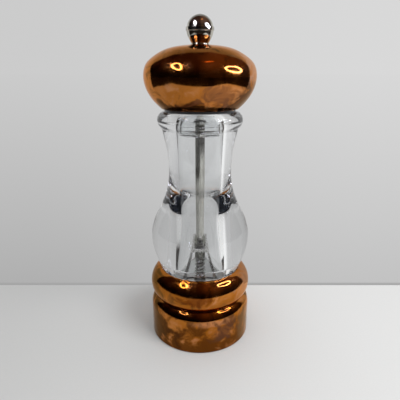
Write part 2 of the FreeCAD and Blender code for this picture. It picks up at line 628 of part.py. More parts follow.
def head_spigot():
    """A clear cup that centres the head in the body's bore."""
    radius = BORE_RADIUS - SPIGOT_FIT
    bore = radius - SPIGOT_WALL
    floor = HEAD_FLOOR_Z - SPIGOT_DEPTH
    edges = lines(at(SPIGOT_HOLE, floor), at(radius - SPIGOT_ROUND, floor))
    edges.append(arc(at(radius - SPIGOT_ROUND, floor + SPIGOT_ROUND), SPIGOT_ROUND, -90, 0))
    edges += lines(at(radius, floor + SPIGOT_ROUND), at(radius, HEAD_FLOOR_Z),
                   at(FLANGE_RADIUS, HEAD_FLOOR_Z), at(FLANGE_RADIUS, FLANGE_TOP_Z),
                   at(bore, FLANGE_TOP_Z), at(bore, floor + SPIGOT_STEP_UP),
                   at(bore - SPIGOT_STEP, floor + SPIGOT_STEP_UP),
                   at(bore - SPIGOT_STEP, floor + SPIGOT_FLOOR),
                   at(SPIGOT_HOLE, floor + SPIGOT_FLOOR), at(SPIGOT_HOLE, floor))
    hole = HEAD_SCREW + FIT
    mouth = HEAD_SCREW * HEAD_TO_SHANK + FIT
    sink = turned(lines(at(0, HEAD_FLOOR_Z - PAST), at(mouth, HEAD_FLOOR_Z - PAST),
                        at(mouth, HEAD_FLOOR_Z), at(hole, HEAD_FLOOR_Z + HEAD_SCREW_SINK),
                        at(hole, FLANGE_TOP_Z + PAST), at(0, FLANGE_TOP_Z + PAST),
                        at(0, HEAD_FLOOR_Z - PAST)))
    sink.translate(FreeCAD.Vector(HEAD_SCREW_CIRCLE, 0, 0))
    return turned(edges).cut(Part.makeCompound(around(sink, SCREW_COUNT, FIRST_SCREW)))


def drive_plate():
    side = SHAFT_SIDE + 2 * RUN_FIT
    square = block(side, side, FLANGE_TOP_Z - PAST, PLATE_TOP_Z + PAST)
    square.rotate(FreeCAD.Vector(), FreeCAD.Vector(0, 0, 1), SHAFT_TURN)
    hole = rod(HEAD_SCREW + FIT, FLANGE_TOP_Z - PAST, PLATE_TOP_Z + PAST, HEAD_SCREW_CIRCLE)
    holes = around(hole, SCREW_COUNT, FIRST_SCREW)
    plate = rod(FLANGE_RADIUS - SHELL_FIT, FLANGE_TOP_Z, PLATE_TOP_Z)
    return plate.cut(Part.makeCompound(holes + [square]))


# ---------------------------------------------------------------- knob

def knob_washer():
    return tube(STUD_HOLE, KNOB_NECK + KNOB_WASHER_EDGE, HEAD_TOP_Z, KNOB_Z)


def insert_radius():
    return SHAFT_ROUND + RUN_FIT + INSERT_WALL


def knob_cup():
    """The knob's lower half: a narrow neck that swells to a band."""
    bowl = Part.Arc(at(KNOB_NECK, KNOB_Z), at(KNOB_BAND - KNOB_SWELL_IN, KNOB_Z + KNOB_SWELL),
                    at(KNOB_BAND, BAND_Z)).toShape()
    hole = insert_radius() + FIT
    edges = [bowl]
    edges += lines(at(KNOB_BAND, BAND_Z), at(KNOB_BAND, BAND_TOP_Z), at(KNOB_DOME + FIT, BAND_TOP_Z),
                   at(KNOB_DOME + FIT, DOME_Z), at(hole, DOME_Z), at(hole, KNOB_Z),
                   at(KNOB_NECK, KNOB_Z))
    return turned(edges)


def knob_insert():
    return tube(SHAFT_ROUND + RUN_FIT, insert_radius(), KNOB_Z, DOME_Z)


def knob_dome():
    centre = at(0, DOME_Z)
    edges = [arc(centre, KNOB_DOME, 0, 90)]
    edges.append(line(at(0, DOME_Z + KNOB_DOME), at(0, DOME_Z + KNOB_DOME - KNOB_DOME_WALL)))
    edges.append(arc(centre, KNOB_DOME - KNOB_DOME_WALL, 90, 0))
    edges.append(line(at(KNOB_DOME - KNOB_DOME_WALL, DOME_Z), at(KNOB_DOME, DOME_Z)))
    return turned(edges)


PIECES = [base_skirt, base_collar, base_core, body_screws, burr_retainer, retainer_screws,
          burr_ring, burr_cone, burr_washer, burr_nut, bridge, bridge_bush, bridge_screws,
          spring, spring_washer, acrylic_body, drive_shaft, glide_ring, head_shell, head_core,
          head_screws, head_spigot, drive_plate, knob_washer, knob_cup, knob_insert, knob_dome]

os.makedirs("parts", exist_ok=True)
for piece in PIECES:
    save(piece.__name__, piece())
print("height", round(DOME_Z + KNOB_DOME, 3), "adjustment", ADJUST_TRAVEL)
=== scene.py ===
import math

import bmesh
import bpy
import numpy as np
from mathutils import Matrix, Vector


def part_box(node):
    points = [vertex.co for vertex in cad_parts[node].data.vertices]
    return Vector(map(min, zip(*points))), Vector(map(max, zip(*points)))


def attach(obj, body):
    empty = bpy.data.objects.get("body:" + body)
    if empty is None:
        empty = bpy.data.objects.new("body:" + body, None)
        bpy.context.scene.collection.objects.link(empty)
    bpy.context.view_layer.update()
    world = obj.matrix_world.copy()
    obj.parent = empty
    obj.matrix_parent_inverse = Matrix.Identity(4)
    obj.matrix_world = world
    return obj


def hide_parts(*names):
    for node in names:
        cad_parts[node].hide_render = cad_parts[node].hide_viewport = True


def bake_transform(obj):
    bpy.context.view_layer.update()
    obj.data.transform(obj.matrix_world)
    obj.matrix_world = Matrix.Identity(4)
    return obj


# Pepper mill: spun copper head and base, clear acrylic body, square steel shaft.
# Lengths of the pieces are millimetres and become metres as a mesh is made. The stage, the
# camera, the lamps and all places in materials are in metres.

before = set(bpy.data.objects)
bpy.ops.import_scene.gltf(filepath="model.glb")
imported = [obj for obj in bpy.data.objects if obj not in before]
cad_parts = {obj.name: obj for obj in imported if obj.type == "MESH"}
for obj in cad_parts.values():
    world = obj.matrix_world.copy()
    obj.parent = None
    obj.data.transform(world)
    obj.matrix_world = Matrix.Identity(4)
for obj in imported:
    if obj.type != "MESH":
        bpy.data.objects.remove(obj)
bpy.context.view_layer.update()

MM = 0.001
AROUND = 224                 # facets round a turned piece

# Sizes that pieces share or that follow the CAD
SHELL = 0.8                  # spun copper
SHAFT_HOLE = 2.45            # radius of the shaft's hole through head and washer
INSERT_HOLE = 3.1            # and of the brass insert's hole in the knob
HEAD_WIDEST = 15.8           # height of the head's widest level above its floor
SPIGOT_RADIUS = 11.95
SPIGOT_ROUND = 3.0
SPIGOT_BORE = 10.4
SPIGOT_STEP = 0.4
SPIGOT_STEP_UP = 6.6
SPIGOT_FLOOR = 1.8
SPIGOT_HOLE = 3.5
BAND_HEIGHT = 1.8            # cylindrical band of the knob
DOME_SEAT = 6.62             # radius of the dome's seat in the knob
DOME_SEAT_DEPTH = 0.6
DOME_IN = 0.87               # the dome's inside as a share of its radius and of its height
DOME_DOWN = 0.88
BODY_BORE = 12.1
BODY_RELIEF = 13.8           # wider bore at the foot of the clear body
BODY_RELIEF_HEIGHT = 9.0
BODY_FOOT = 20.0
BODY_FOOT_DEPTH = 5.3
RIM_BEAD = 4.6
RIM_BEAD_MIDDLE = 18.1
NOTCH_DOWN = 9.0             # where the neck runs up into the rim's bead
WAIST_DOWN = 32.5
BELLY_UP = 19.3              # above the mouth of the copper collar
COLLAR_BULGE = 11.0
COLLAR_LEVEL = 32.6
SKIRT_SHOULDER = 7.5
SKIRT_WALL_TOP = 18.3

SHAFT_SIDE = 4.0
SHAFT_EDGE = 0.25            # worn off the square's corners
SHAFT_ROUND = 1.95           # radius of the round ends
SHAFT_TIP = 0.5
SHAFT_TURN = math.radians(38)
SQUARE_ABOVE_BUSH = 1.35
SQUARE_ABOVE_RIM = 19.0
THREAD_PITCH = 0.7
THREAD_DEPTH = 0.36
THREAD_FLANK = 1.25          # steepness of the groove's sides
THREAD_FADE = 0.8            # length over which the groove runs out
THREAD_LOW = 7.0             # length of the lower thread
THREAD_STEPS = 8             # sections in one pitch

SPRING_WIRE = 0.35           # radius of the wire
SPRING_MEAN = 2.55
SPRING_OPEN_TURNS = 5.0
SPRING_DEAD_TURNS = 0.9      # closed turns at each end
SPRING_WASHER = 0.4


# ---------------------------------------------------------------- levels from the CAD

def low(node):
    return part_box(node)[0].z / MM


def high(node):
    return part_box(node)[1].z / MM


def reach(node):
    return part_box(node)[1].x / MM


# ---------------------------------------------------------------- outlines

def spline(points, samples):
    """A natural cubic through the points, by the lengths of its chords."""
    knots = np.array(points, float)
    chord = np.linalg.norm(np.diff(knots, axis=0), axis=1)
    place = np.concatenate([[0], np.cumsum(chord)])
    count = len(knots)
    system = np.eye(count)
    right = np.zeros((count, 2))
    for i in range(1, count - 1):
        before = chord[i - 1]
        after = chord[i]
        system[i, i - 1:i + 2] = before, 2 * (before + after), after
        right[i] = 6 * ((knots[i + 1] - knots[i]) / after - (knots[i] - knots[i - 1]) / before)
    bend = np.linalg.solve(system, right)
    traced = []
    for t in np.linspace(0, place[-1], samples):
        i = min(int(np.searchsorted(place, t, "right")) - 1, count - 2)
        step = chord[i]
        a = (place[i + 1] - t) / step
        b = (t - place[i]) / step
        point = (a * knots[i] + b * knots[i + 1]
                 + ((a ** 3 - a) * bend[i] + (b ** 3 - b) * bend[i + 1]) * step ** 2 / 6)
        traced.append((float(point[0]), float(point[1])))
    return traced


def arc(centre, radius, start_deg, end_deg, samples=20):
    traced = []
    for turn in np.radians(np.linspace(start_deg, end_deg, samples)):
        traced.append((centre[0] + radius * math.cos(turn), centre[1] + radius * math.sin(turn)))
    return traced


def inset(points, distance):
    """The same line moved to its left hand, seen along it."""
    line = np.array(points, float)
    along = np.gradient(line, axis=0)
    along /= np.linalg.norm(along, axis=1)[:, None]
    moved = line + distance * np.stack([-along[:, 1], along[:, 0]], axis=1)
    return [tuple(p) for p in moved]


def eased(before, corner, after, radius, steps=5):
    """A corner worn round: a short curve in its place."""
    corner = np.array(corner, float)
    back = np.array(before, float) - corner
    on = np.array(after, float) - corner
    start = corner + back / np.linalg.norm(back) * min(radius, np.linalg.norm(back) / 2)
    end = corner + on / np.linalg.norm(on) * min(radius, np.linalg.norm(on) / 2)
    curve = []
    for t in np.linspace(0, 1, steps):
        point = (1 - t) ** 2 * start + 2 * t * (1 - t) * corner + t ** 2 * end
        curve.append((float(point[0]), float(point[1])))
    return curve


def closed(*parts):
    """One closed outline from points, lists of points, and (r, z, easing) corners."""
    flat = []
    for part in parts:
        flat += part if isinstance(part, list) else [part]
    traced = []
    for i, point in enumerate(flat):
        if len(point) == 3:
            traced += eased(flat[i - 1][:2], point[:2], flat[(i + 1) % len(flat)][:2], point[2])
        else:
            traced.append(point)
    return traced


# ---------------------------------------------------------------- meshes

def mesh_object(name, vertices, faces, sharp_deg=32):
    mesh = bpy.data.meshes.new(name)
    mesh.from_pydata(vertices, [], faces)
    mesh.validate()
    mesh.shade_smooth()
    mesh.set_sharp_from_angle(angle=math.radians(sharp_deg))
    thing = bpy.data.objects.new(name, mesh)
    bpy.context.scene.collection.objects.link(thing)
    return thing


def outward(thing):
    """Every face made to look out of the solid."""
    work = bmesh.new()
    work.from_mesh(thing.data)
    bmesh.ops.recalc_face_normals(work, faces=work.faces)
    work.to_mesh(thing.data)
    work.free()
    return thing


def round_point(radius, angle, height):
    """A point in metres from a radius, an angle and a height in millimetres."""
    return radius * math.cos(angle) * MM, radius * math.sin(angle) * MM, height * MM


def turned(name, outline, sharp_deg=32):
    """A closed outline of (radius, height) turned about the axis."""
    vertices = []
    rings = []
    for radius, height in outline:
        if radius < 1e-6:
            rings.append([len(vertices)] * AROUND)
            vertices.append((0, 0, height * MM))
            continue
        rings.append(list(range(len(vertices), len(vertices) + AROUND)))
        for step in range(AROUND):
            vertices.append(round_point(radius, 2 * math.pi * step / AROUND, height))
    faces = []
    for ring, following in zip(rings, rings[1:] + rings[:1]):
        for step in range(AROUND):
            on = (step + 1) % AROUND
            face = [ring[step], ring[on], following[on], following[step]]
            face = list(dict.fromkeys(face))
            if len(face) > 2:
                faces.append(face)
    return outward(mesh_object(name, vertices, faces, sharp_deg))


def skinned(name, sections, sharp_deg=32):
    """Sections of equal numbers of points joined into a closed skin, ends capped."""
    count = len(sections[0])
    vertices = [point for section in sections for point in section]
    faces = []
    for index in range(len(sections) - 1):
        here = index * count
        there = here + count
        for step in range(count):
            on = (step + 1) % count
            faces.append([here + step, here + on, there + on, there + step])
    faces.append(list(range(count))[::-1])
    faces.append(list(range(len(vertices) - count, len(vertices))))
    return outward(mesh_object(name, vertices, faces, sharp_deg))


# ---------------------------------------------------------------- materials

class Nodes:
    """Shader nodes made and joined in one tree."""

    def __init__(self, tree):
        self.tree = tree

    def node(self, kind, settings=None, **sockets):
        made = self.tree.nodes.new("ShaderNode" + kind)
        for key, value in (settings or {}).items():
            setattr(made, key, value)
        for key, value in sockets.items():
            self.feed(made.inputs[key.replace("_", " ")], value)
        return made

    def feed(self, socket, value):
        if isinstance(value, bpy.types.NodeSocket):
            self.tree.links.new(value, socket)
        else:
            socket.default_value = value

    def rays(self):
        return self.node("LightPath").outputs

    def axes(self, place):
        return self.node("SeparateXYZ", Vector=place).outputs

    def maths(self, operation, first, second=0.0, clamp=False):
        made = self.node("Math", {"operation": operation, "use_clamp": clamp})
        self.feed(made.inputs[0], first)
        self.feed(made.inputs[1], second)
        return made.outputs[0]

    def add(self, first, second):
        return self.maths("ADD", first, second)

    def times(self, first, second):
        return self.maths("MULTIPLY", first, second)

    def fit(self, value, from_low, from_high, to_low=0.0, to_high=1.0):
        """A smooth change of a number from one level to another."""
        return self.node("MapRange", {"interpolation_type": "SMOOTHSTEP"}, Value=value,
                         From_Min=from_low, From_Max=from_high, To_Min=to_low,
                         To_Max=to_high).outputs[0]

    def colours(self, factor, first, second):
        made = self.node("Mix", {"data_type": "RGBA"})
        self.feed(made.inputs[0], factor)
        self.feed(made.inputs[6], first)
        self.feed(made.inputs[7], second)
        return made.outputs[2]


class Surface(Nodes):
    """A Principled material with its nodes."""

    def __init__(self, name, **values):
        self.material = bpy.data.materials.new(name)
        self.material.use_nodes = True
        super().__init__(self.material.node_tree)
        self.shader = self.tree.nodes["Principled BSDF"]
        self.output = self.tree.nodes["Material Output"]
        for key, value in values.items():
            self.shader.inputs[key.replace("_", " ")].default_value = value
        self.place = self.node("TexCoord").outputs["Object"]

    def stretched(self, scale, offset=(0, 0, 0), turn=(0, 0, 0), source=None):
        return self.node("Mapping", Vector=source or self.place, Scale=scale, Location=offset,
                         Rotation=turn).outputs[0]

    def noise(self, scale, detail=4.0, roughness=0.55, distortion=0.0, where=None):
        return self.node("TexNoise", Vector=where or self.place, Scale=scale, Detail=detail,
                         Roughness=roughness, Distortion=distortion).outputs[0]

    def length(self, first, second):
        return self.maths("SQRT", self.add(self.times(first, first), self.times(second, second)))

    def round_coordinates(self, around=1.0):
        """Angle, radius and height, so that marks run round the piece."""
        x, y, z = self.axes(self.place)
        angle = self.times(self.maths("ARCTAN2", y, x), around)
        return self.node("CombineXYZ", X=angle, Y=self.length(x, y), Z=z).outputs[0]

    def rings(self, scale, around):
        """Fine marks left by the lathe."""
        return self.noise(1.0, 2.0, 0.5, 0.0,
                          self.stretched(scale, source=self.round_coordinates(around)))

    def bump(self, height, strength, distance, under=None):
        made = self.node("Bump", Strength=strength, Distance=distance, Height=height)
        if under is not None:
            self.feed(made.inputs["Normal"], under)
        return made.outputs[0]

    def finish(self, colour=None, roughness=None, normal=None):
        for socket, value in (("Base Color", colour), ("Roughness", roughness),
                              ("Normal", normal)):
            if value is not None:
                self.feed(self.shader.inputs[socket], value)
        return self.material

    def show(self, shader):
        """Another shader as the material's surface."""
        self.feed(self.output.inputs["Surface"], shader.outputs[0])
        return self.material

    def show_mixed(self, factor, other):
        """The Principled shader, and another one by the factor."""
        mix = self.node("MixShader")
        self.feed(mix.inputs[0], factor)
        self.feed(mix.inputs[1], self.shader.outputs[0])
        self.feed(mix.inputs[2], other.outputs[0])
        return self.show(mix)


def grey(value):
    return (value, value, value, 1.0)


def copper(name, offset, tarnish, light, deep, tarnish_and_painted_light):
    """Old polished copper: warm blotches, brown tarnish, polishing rings.

    Each patch is (middle, spread, strength, tint): a ragged oval of another colour. Some patches
    are tarnish; most are painted shade, painted dark reflections and painted highlights.
    """
    s = Surface(name, Metallic=1.0)
    s.shader.inputs["Specular Tint"].default_value = (1.0, 0.80, 0.62, 1)
    where = s.stretched((1, 1, 1), offset)
    broad = s.noise(45, 3.0, 0.5, 0.5, where)
    patch = s.noise(105, 4.0, 0.55, 0.9, where)
    small = s.noise(420, 5.0, 0.65, 0.4, where)
    colour = s.colours(s.fit(broad, 0.38, 0.62), deep, light)
    colour = s.colours(s.fit(patch, 0.54, 0.72, 0, 0.6), colour, (0.68, 0.31, 0.14, 1))
    brown = s.times(s.fit(patch, 0.49, 0.36, 0, 1), tarnish)
    colour = s.colours(brown, colour, (0.17, 0.070, 0.018, 1))
    colour = s.colours(s.fit(small, 0.64, 0.80, 0, 0.4), colour, (0.22, 0.095, 0.035, 1))
    place = s.axes(s.place)
    wander = s.maths("SUBTRACT", s.add(s.times(patch, 3.4), s.times(small, 0.8)), 2.1)
    # ragged ovals: tarnish, painted shade, painted dark reflections and painted highlights
    for middle, spread, strength, tint in tarnish_and_painted_light:
        squares = []
        for axis, centre, width in zip(place, middle, spread):
            apart = s.maths("DIVIDE", s.maths("SUBTRACT", axis, centre), width)
            squares.append(s.times(apart, apart))
        distance = s.maths("SQRT", s.add(s.add(squares[0], squares[1]), squares[2]))
        ragged = s.add(distance, wander)
        colour = s.colours(s.fit(ragged, 1.35, 0.55, 0, strength), colour, tint)
    rough = s.add(s.fit(patch, 0.38, 0.72, 0.075, 0.15), s.fit(small, 0.45, 0.8, 0, 0.08))
    waves = s.bump(s.noise(95, 2.0, 0.4, 0.0, where), 0.22, 0.0012)
    marks = s.bump(s.rings((0.6, 5200, 5200), 3.0), 0.05, 0.00006, waves)
    grain = s.bump(small, 0.05, 0.00015, marks)
    return s.finish(colour, rough, grain)


def acrylic(name):
    """Clear acrylic with hairline scratches. Light from lamps passes straight through."""
    s = Surface(name, Metallic=0.0, IOR=1.49, Transmission_Weight=1.0)
    s.shader.inputs["Base Color"].default_value = (0.975, 0.985, 0.99, 1)
    scratch = s.noise(1.0, 3.0, 0.6, 0.0, s.stretched((260, 2600, 900), turn=(0.3, 0.5, 0.2)))
    smear = s.noise(70, 3.0, 0.6, 0.8)
    rough = s.add(s.fit(scratch, 0.66, 0.80, 0.0, 0.05), s.fit(smear, 0.5, 0.85, 0.0, 0.02))
    ripple = s.bump(s.noise(60, 1.0, 0.4), 0.10, 0.0006)
    s.finish(None, rough, ripple)
    rays = s.rays()
    through = s.maths("MAXIMUM", rays["Is Shadow Ray"], rays["Is Diffuse Ray"])
    return s.show_mixed(through, s.node("BsdfTransparent", Color=(0.93, 0.94, 0.95, 1)))


def plated(name, light, dark, rough_low, rough_high):
    """Plated or turned metal with smudges and fine rings."""
    s = Surface(name, Metallic=1.0)
    cloud = s.noise(260, 4.0, 0.6, 0.5)
    fine = s.noise(2400, 3.0, 0.6)
    colour = s.colours(s.fit(cloud, 0.42, 0.72, 0, 0.5), light, dark)
    colour = s.colours(s.fit(fine, 0.60, 0.75, 0, 0.35), colour, dark)
    rough = s.add(s.fit(cloud, 0.35, 0.75, rough_low, rough_high),
                  s.fit(fine, 0.4, 0.8, 0, 0.06))
    rings = s.bump(s.rings((0.5, 9000, 9000), 2.0), 0.06, 0.00004)
    return s.finish(colour, rough, s.bump(fine, 0.05, 0.00004, rings))


def drawn_steel(name):
    """Cold drawn bar: long streaks down its length and a dull grey skin."""
    s = Surface(name, Metallic=1.0)
    streak = s.noise(1.0, 4.0, 0.6, 0.0, s.stretched((3400, 3400, 34)))
    cloud = s.noise(1.0, 4.0, 0.6, 0.4, s.stretched((380, 380, 90)))
    colour = s.colours(s.fit(streak, 0.3, 0.7), (0.36, 0.355, 0.32, 1), (0.58, 0.57, 0.53, 1))
    colour = s.colours(s.fit(cloud, 0.52, 0.75, 0, 0.45), colour, (0.30, 0.285, 0.235, 1))
    rough = s.add(s.fit(streak, 0.3, 0.75, 0.13, 0.24), s.fit(cloud, 0.4, 0.8, 0, 0.10))
    return s.finish(colour, rough, s.bump(streak, 0.12, 0.00006))


def gritty_metal(name, light, dark, rough):
    """Cast and hardened steel with a fine grain."""
    s = Surface(name, Metallic=1.0)
    grain = s.noise(3000, 5.0, 0.7)
    cloud = s.noise(300, 4.0, 0.6)
    colour = s.colours(s.fit(grain, 0.35, 0.7), dark, light)
    colour = s.colours(s.fit(cloud, 0.5, 0.8, 0, 0.5), colour, dark)
    return s.finish(colour, s.fit(grain, 0.3, 0.8, rough, rough + 0.18),
                    s.bump(grain, 0.3, 0.00008))


def moulded(name, light, dark, rough, painted_seat_shade=None):
    """Moulded plastic: faint mottle, a fine skin and specks of pepper dust.

    The last argument is (foot_inner, foot_outer, foot_top): painted shade, near black, under the
    clear body's foot and on the rim round it.
    """
    s = Surface(name, Metallic=0.0)
    cloud = s.noise(130, 4.0, 0.6, 0.4)
    skin = s.noise(3800, 3.0, 0.6)
    dust = s.noise(900, 6.0, 0.75)
    colour = s.colours(s.fit(cloud, 0.35, 0.7), light, dark)
    colour = s.colours(s.fit(dust, 0.64, 0.76, 0, 0.30), colour, (0.20, 0.15, 0.10, 1))
    if painted_seat_shade:
        foot_inner, foot_outer, foot_top = painted_seat_shade
        _, radius, z = s.axes(s.round_coordinates())
        # painted shade under the clear body's foot and on the rim round it
        seat = s.times(s.fit(z, foot_top - 0.0020, foot_top - 0.0015),
                       s.fit(z, foot_top + 0.0006, foot_top + 0.0002))
        under = s.times(s.fit(radius, foot_inner, foot_inner + 0.0004), seat)
        around = s.times(s.fit(radius, foot_outer, foot_outer + 0.0003),
                         s.fit(z, 0.012, 0.014))
        seat_shade_colour = s.colours(s.fit(dust, 0.45, 0.62), (0.006, 0.008, 0.016, 1),
                           (0.05, 0.06, 0.07, 1))
        colour = s.colours(s.maths("MAXIMUM", under, around), colour, seat_shade_colour)
    return s.finish(colour, s.fit(cloud, 0.3, 0.75, rough, rough + 0.12),
                    s.bump(skin, 0.15, 0.00006))


def beech(name):
    """Turned beech: grain up the axis, short dark rays, and rings on the end grain."""
    s = Surface(name, Metallic=0.0)
    growth = s.node("TexWave", {"wave_type": "RINGS", "rings_direction": "Z"},
                    Vector=s.stretched((1, 1, 0.12), (0.03, 0.012, 0)), Scale=150,
                    Distortion=2.5, Detail=3.0, Detail_Scale=1.6, Detail_Roughness=0.6)
    rays = s.noise(1.0, 3.0, 0.6, 0.0, s.stretched((1900, 1900, 260)))
    colour = s.colours(growth.outputs["Fac"], (0.42, 0.235, 0.115, 1), (0.62, 0.40, 0.225, 1))
    colour = s.colours(s.fit(rays, 0.60, 0.72, 0, 0.55), colour, (0.27, 0.135, 0.06, 1))
    return s.finish(colour, s.fit(rays, 0.3, 0.7, 0.42, 0.60), s.bump(rays, 0.25, 0.00012))


# Patches on the copper, as copper() takes them: a little tarnish, mostly painted shade, painted
# dark reflections and painted highlights
HEAD_PAINTED_SHADE_AND_SHEEN = (
    # painted sheen: a pale pink patch high on the head's right
    ((0.030, 0.004, 0.1535), (0.014, 0.030, 0.0095), 0.85, (0.70, 0.38, 0.25, 1)),
    # painted shade: a dark band round the head's lip
    ((0, 0, 0.1310), (1, 1, 0.0050), 0.92, (0.055, 0.012, 0.004, 1)),
    # painted reflections of shade: dark patches low on the head's front right
    ((0.024, -0.016, 0.1385), (0.013, 0.018, 0.0062), 0.95, (0.10, 0.045, 0.030, 1)),
    ((0.012, -0.026, 0.1405), (0.011, 0.012, 0.0048), 0.75, (0.24, 0.088, 0.034, 1)),
)
BASE_TARNISH_AND_PAINTED_LIGHT = (
    # painted highlights: pink patches on the collar's right and on the front of the drum's
    # shoulder
    ((0.029, -0.010, 0.036), (0.009, 0.022, 0.008), 0.7, (0.60, 0.30, 0.17, 1)),
    ((0.008, -0.027, 0.0185), (0.010, 0.01, 0.0018), 0.5, (0.80, 0.36, 0.17, 1)),
    # painted shade: darker towards the bottom, and dark patches on the left
    ((0, 0, -0.004), (1, 1, 0.0175), 0.92, (0.14, 0.043, 0.006, 1)),
    ((-0.025, -0.014, 0.010), (0.012, 0.02, 0.015), 0.9, (0.075, 0.026, 0.007, 1)),
    ((-0.028, -0.010, 0.034), (0.007, 0.02, 0.010), 0.8, (0.13, 0.060, 0.010, 1)),
    # darker patches on the right and at the front
    ((0.028, -0.010, 0.012), (0.006, 0.02, 0.012), 0.7, (0.18, 0.10, 0.05, 1)),
    ((0.013, -0.026, 0.0115), (0.007, 0.01, 0.0050), 0.6, (0.15, 0.065, 0.04, 1)),
    ((0.000, -0.028, 0.0335), (0.010, 0.01, 0.0032), 0.75, (0.15, 0.030, 0.003, 1)),
)
MATERIALS = {
    "head_copper": copper("head_copper", (0.013, 0.021, 0.004), 0.7, (0.64, 0.24, 0.06, 1),
                          (0.48, 0.165, 0.028, 1), HEAD_PAINTED_SHADE_AND_SHEEN),
    "base_copper": copper("base_copper", (0.051, 0.007, 0.033), 0.75, (0.62, 0.23, 0.05, 1),
                          (0.45, 0.145, 0.016, 1), BASE_TARNISH_AND_PAINTED_LIGHT),
    "acrylic": acrylic("acrylic"),
    "drawn_steel": drawn_steel("drawn_steel"),
    "burr": gritty_metal("burr", (0.40, 0.39, 0.38, 1), (0.17, 0.165, 0.16, 1), 0.36),
    # white plastic with painted shade at the clear body's foot
    "white_plastic": moulded("white_plastic", (0.80, 0.79, 0.76, 1), (0.70, 0.685, 0.64, 1),
                             0.40, (0.0134, 0.0202, 0.0371)),
    # black nylon: partly its own colour, partly painted shade for the dark line above the clear
    # body
    "nylon": moulded("nylon", (0.050, 0.050, 0.052, 1), (0.030, 0.030, 0.034, 1), 0.34),
    "beech": beech("beech"),
}
for plating, (light, dark, rough_low, rough_high) in {
    "nickel": ((0.66, 0.63, 0.56, 1), (0.30, 0.28, 0.23, 1), 0.07, 0.18),
    "zinc": ((0.62, 0.62, 0.61, 1), (0.38, 0.37, 0.35, 1), 0.20, 0.34),
    "spring_wire": ((0.74, 0.75, 0.72, 1), (0.45, 0.46, 0.43, 1), 0.22, 0.36),
    "bridge_steel": ((0.58, 0.57, 0.55, 1), (0.30, 0.29, 0.27, 1), 0.22, 0.36),
    "bush_steel": ((0.30, 0.30, 0.26, 1), (0.15, 0.15, 0.13, 1), 0.26, 0.40),
    "brass": ((0.80, 0.58, 0.25, 1), (0.42, 0.28, 0.10, 1), 0.16, 0.30),
}.items():
    MATERIALS[plating] = plated(plating, light, dark, rough_low, rough_high)


def dress(thing, material):
    thing.data.materials.clear()
    thing.data.materials.append(MATERIALS[material])


def piece(thing, body, node, material):
    """A detailed piece that stands for a CAD node."""
    dress(thing, material)
    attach(thing, body)
    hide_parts(node)
    return thing


# ---------------------------------------------------------------- head

def head_shell():
    """Spun dome, open below, with the shaft's hole in its flat top."""
    top = high("head_shell")
    lip = low("head_shell")
    floor = low("head_core")
    widest = reach("head_shell")
    side = spline([(7.5, top), (widest - 12.6, top - 1.6), (widest - 5.5, top - 5.2),
                   (widest - 1.5, top - 9.0), (widest, floor + HEAD_WIDEST),
                   (widest - 1.8, floor + 7.8), (22.9, lip + 2.5), (20.3, lip)], 90)
    inner = inset(side, -SHELL)[::-1]
    outline = closed((SHAFT_HOLE, top, 0.2), side[:-1], (*side[-1], 0.25), (*inner[0], 0.25),
                     inner[1:], (SHAFT_HOLE, top - SHELL, 0.2))
    return turned("head_copper", outline, sharp_deg=50)


def spigot():
    """Clear cup under the head that centres it in the body's mouth."""
    floor = low("head_spigot")
    shoulder = low("head_core")
    flange_top = high("head_spigot")
    flange = reach("head_spigot")
    step = floor + SPIGOT_STEP_UP
    narrow = SPIGOT_BORE - SPIGOT_STEP
    inside = floor + SPIGOT_FLOOR
    corner = (SPIGOT_RADIUS - SPIGOT_ROUND, floor + SPIGOT_ROUND)
    outline = closed((SPIGOT_HOLE, floor, 0.15), arc(corner, SPIGOT_ROUND, -90, 0, 14),
                     (SPIGOT_RADIUS, shoulder), (flange, shoulder, 0.2),
                     (flange, flange_top, 0.2), (SPIGOT_BORE, flange_top, 0.2),
                     (SPIGOT_BORE, step, 0.12), (narrow, step, 0.12), (narrow, inside, 0.3),
                     (SPIGOT_HOLE, inside, 0.15))
    return turned("spigot_cup", outline)


piece(head_shell(), "head", "head_shell", "head_copper")
piece(spigot(), "head", "head_spigot", "acrylic")


# ---------------------------------------------------------------- knob

def knob_cup():
    foot = low("knob_cup")
    top = high("knob_cup")
    band = reach("knob_cup")
    band_low = top - BAND_HEIGHT
    seat = top - DOME_SEAT_DEPTH
    bowl = spline([(4.15, foot), (5.3, foot + 1.75), (6.3, foot + 3.7),
                   (band - 0.28, band_low - 0.1)], 24)
    outline = closed((INSERT_HOLE, foot, 0.1), bowl, (band - 0.22, band_low),
                     (band, band_low + 0.05, 0.28), (band, top, 0.25),
                     (DOME_SEAT + 0.13, top, 0.12), (DOME_SEAT, seat), (INSERT_HOLE, seat))
    return turned("knob_cup_turned", outline, sharp_deg=40)


def knob_dome():
    seat = low("knob_dome")
    top = high("knob_dome")
    outer = spline([(6.58, seat), (6.35, seat + 1.8), (5.2, seat + 3.95), (2.75, seat + 5.85),
                    (0.0, top)], 40)
    inner = [(r * DOME_IN, seat + (z - seat) * DOME_DOWN) for r, z in outer][::-1]
    return turned("knob_dome_turned", closed(outer, inner), sharp_deg=60)


def knob_washer():
    bottom = low("knob_washer")
    top = high("knob_washer")
    edge = reach("knob_washer")
    outline = closed((SHAFT_HOLE, bottom, 0.1), (edge, bottom, 0.15), (edge, top, 0.22),
                     (SHAFT_HOLE, top, 0.1))
    return turned("knob_washer_turned", outline)


piece(knob_cup(), "knob", "knob_cup", "nickel")
piece(knob_dome(), "knob", "knob_dome", "nickel")
piece(knob_washer(), "knob", "knob_washer", "nickel")


# ---------------------------------------------------------------- clear body

